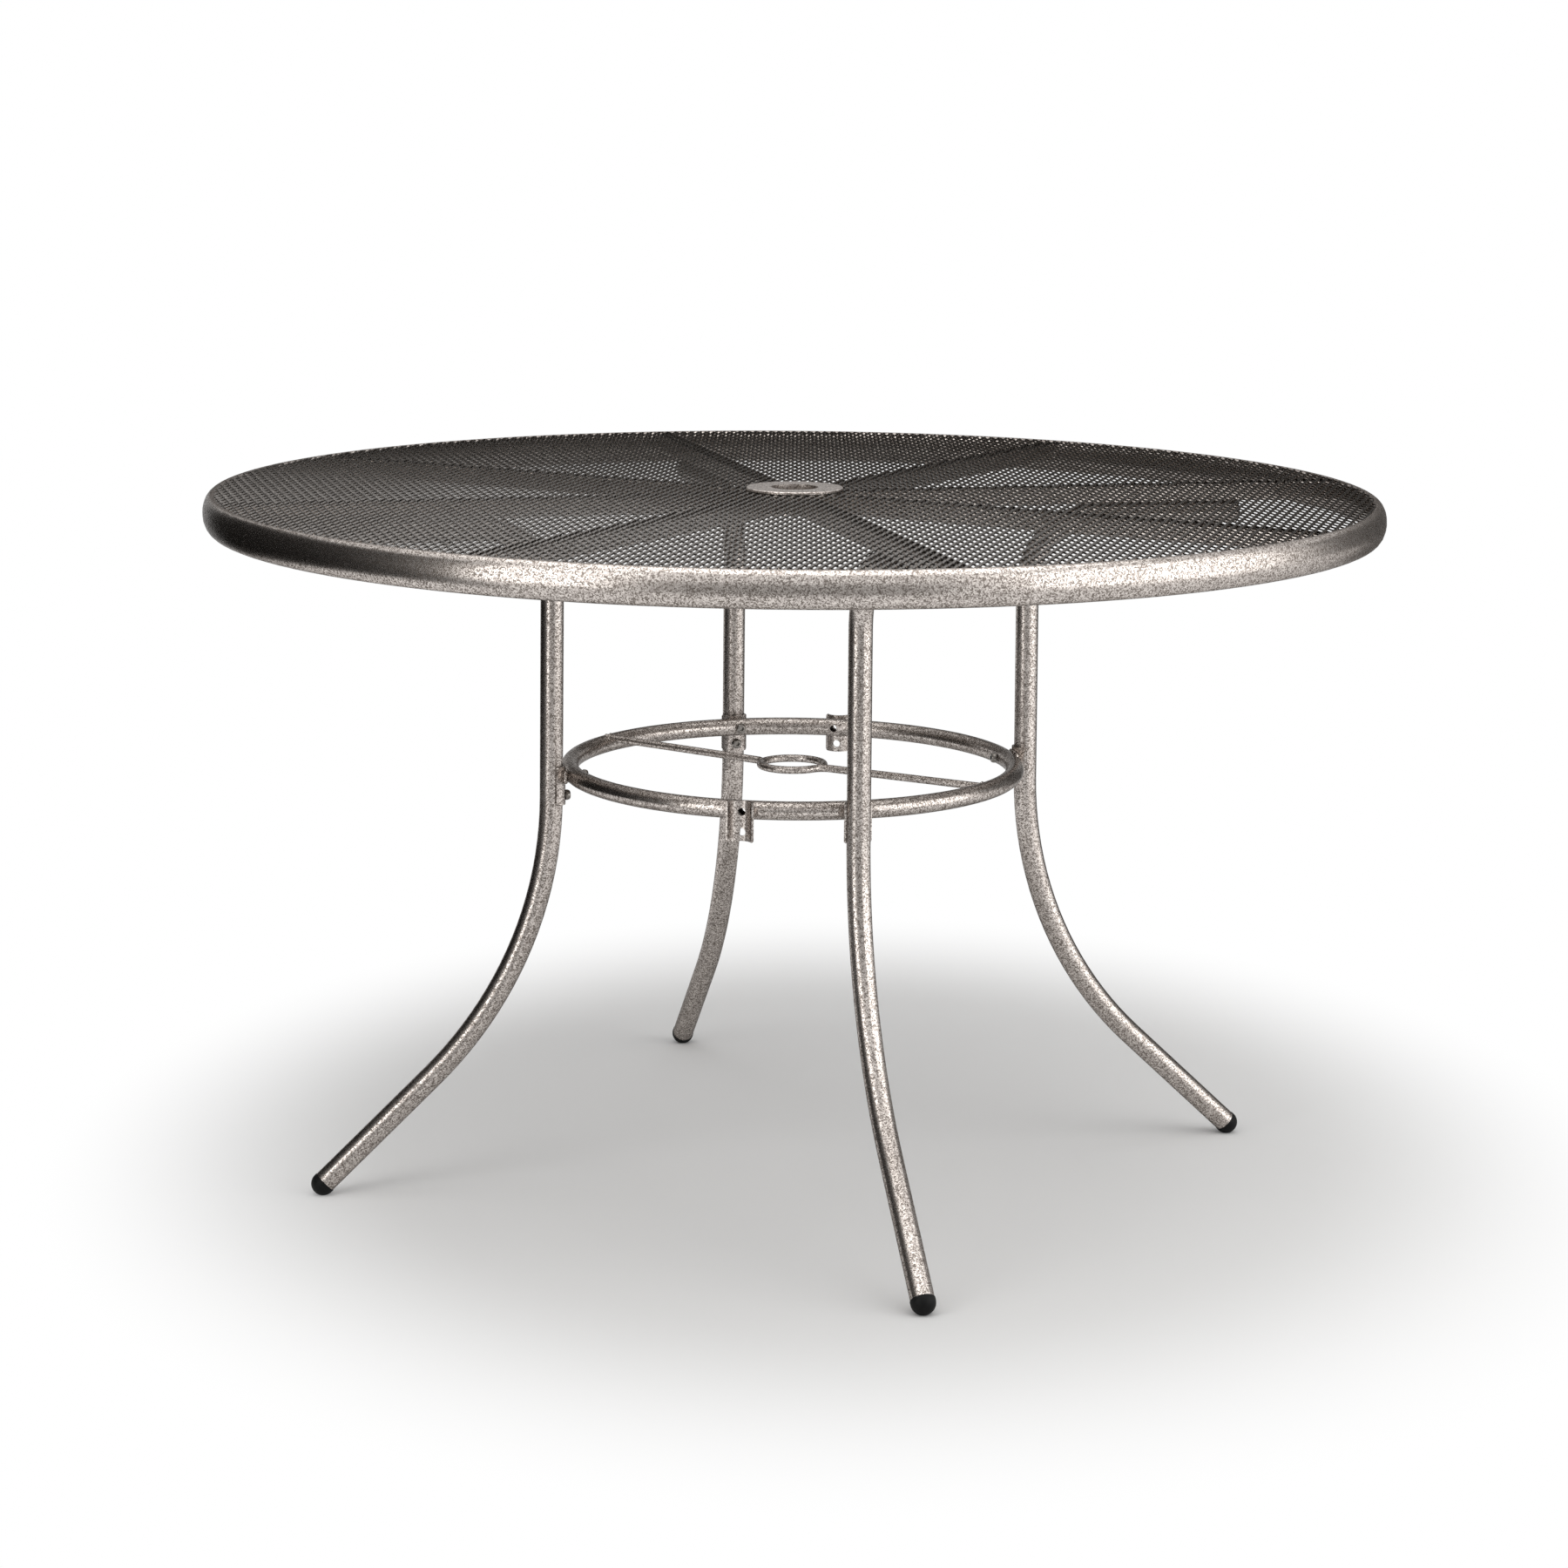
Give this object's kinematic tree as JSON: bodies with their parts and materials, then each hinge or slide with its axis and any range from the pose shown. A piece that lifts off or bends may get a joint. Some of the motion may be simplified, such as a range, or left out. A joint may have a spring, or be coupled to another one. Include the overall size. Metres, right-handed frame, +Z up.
{
  "type": "umbrella table",
  "caption": "Round patio table with a steel mesh top in a tubular rim, radial ribs, splayed bent-tube legs, and a hoop brace whose cross rod has an eye for an umbrella pole.",
  "frame": {"origin": "on the floor, under the centre of the table top", "axes": "+Z up along the umbrella pole's axis, +X and +Y out along two neighbouring legs"},
  "size_m": [1.219, 1.219, 0.7308],
  "materials": {
    "frame_paint": "speckled metallic taupe powder coat, semi-gloss",
    "mesh_paint": "dark taupe powder coat, satin",
    "black_plastic": "moulded black",
    "fastener_steel": "zinc plated"
  },
  "bodies": {
    "root": {"arm_plug_1": "black_plastic", "arm_plug_2": "black_plastic", "arm_plug_3": "black_plastic", "arm_plug_4": "black_plastic", "arm_screws": "fastener_steel", "eye_rod": "frame_paint", "eye_weld": "frame_paint", "foot_cap_1": "black_plastic", "foot_cap_2": "black_plastic", "foot_cap_3": "black_plastic", "foot_cap_4": "black_plastic", "hoop": "frame_paint", "hub_ring": "frame_paint", "hub_tube": "frame_paint", "leg_1": "frame_paint", "leg_2": "frame_paint", "leg_3": "frame_paint", "leg_4": "frame_paint", "leg_inserts": "fastener_steel", "lower_bolts": "fastener_steel", "mesh_top": "mesh_paint", "rib_1": "frame_paint", "rib_2": "frame_paint", "rib_3": "frame_paint", "rib_4": "frame_paint", "rib_5": "frame_paint", "rib_6": "frame_paint", "rib_7": "frame_paint", "rib_8": "frame_paint", "rim": "frame_paint", "saddle_1": "frame_paint", "saddle_2": "frame_paint", "saddle_3": "frame_paint", "saddle_4": "frame_paint", "saddle_welds": "frame_paint", "spare_saddle_1": "frame_paint", "spare_saddle_2": "frame_paint", "stub_rod": "frame_paint", "upper_bolts": "fastener_steel"}
  },
  "joints": []
}
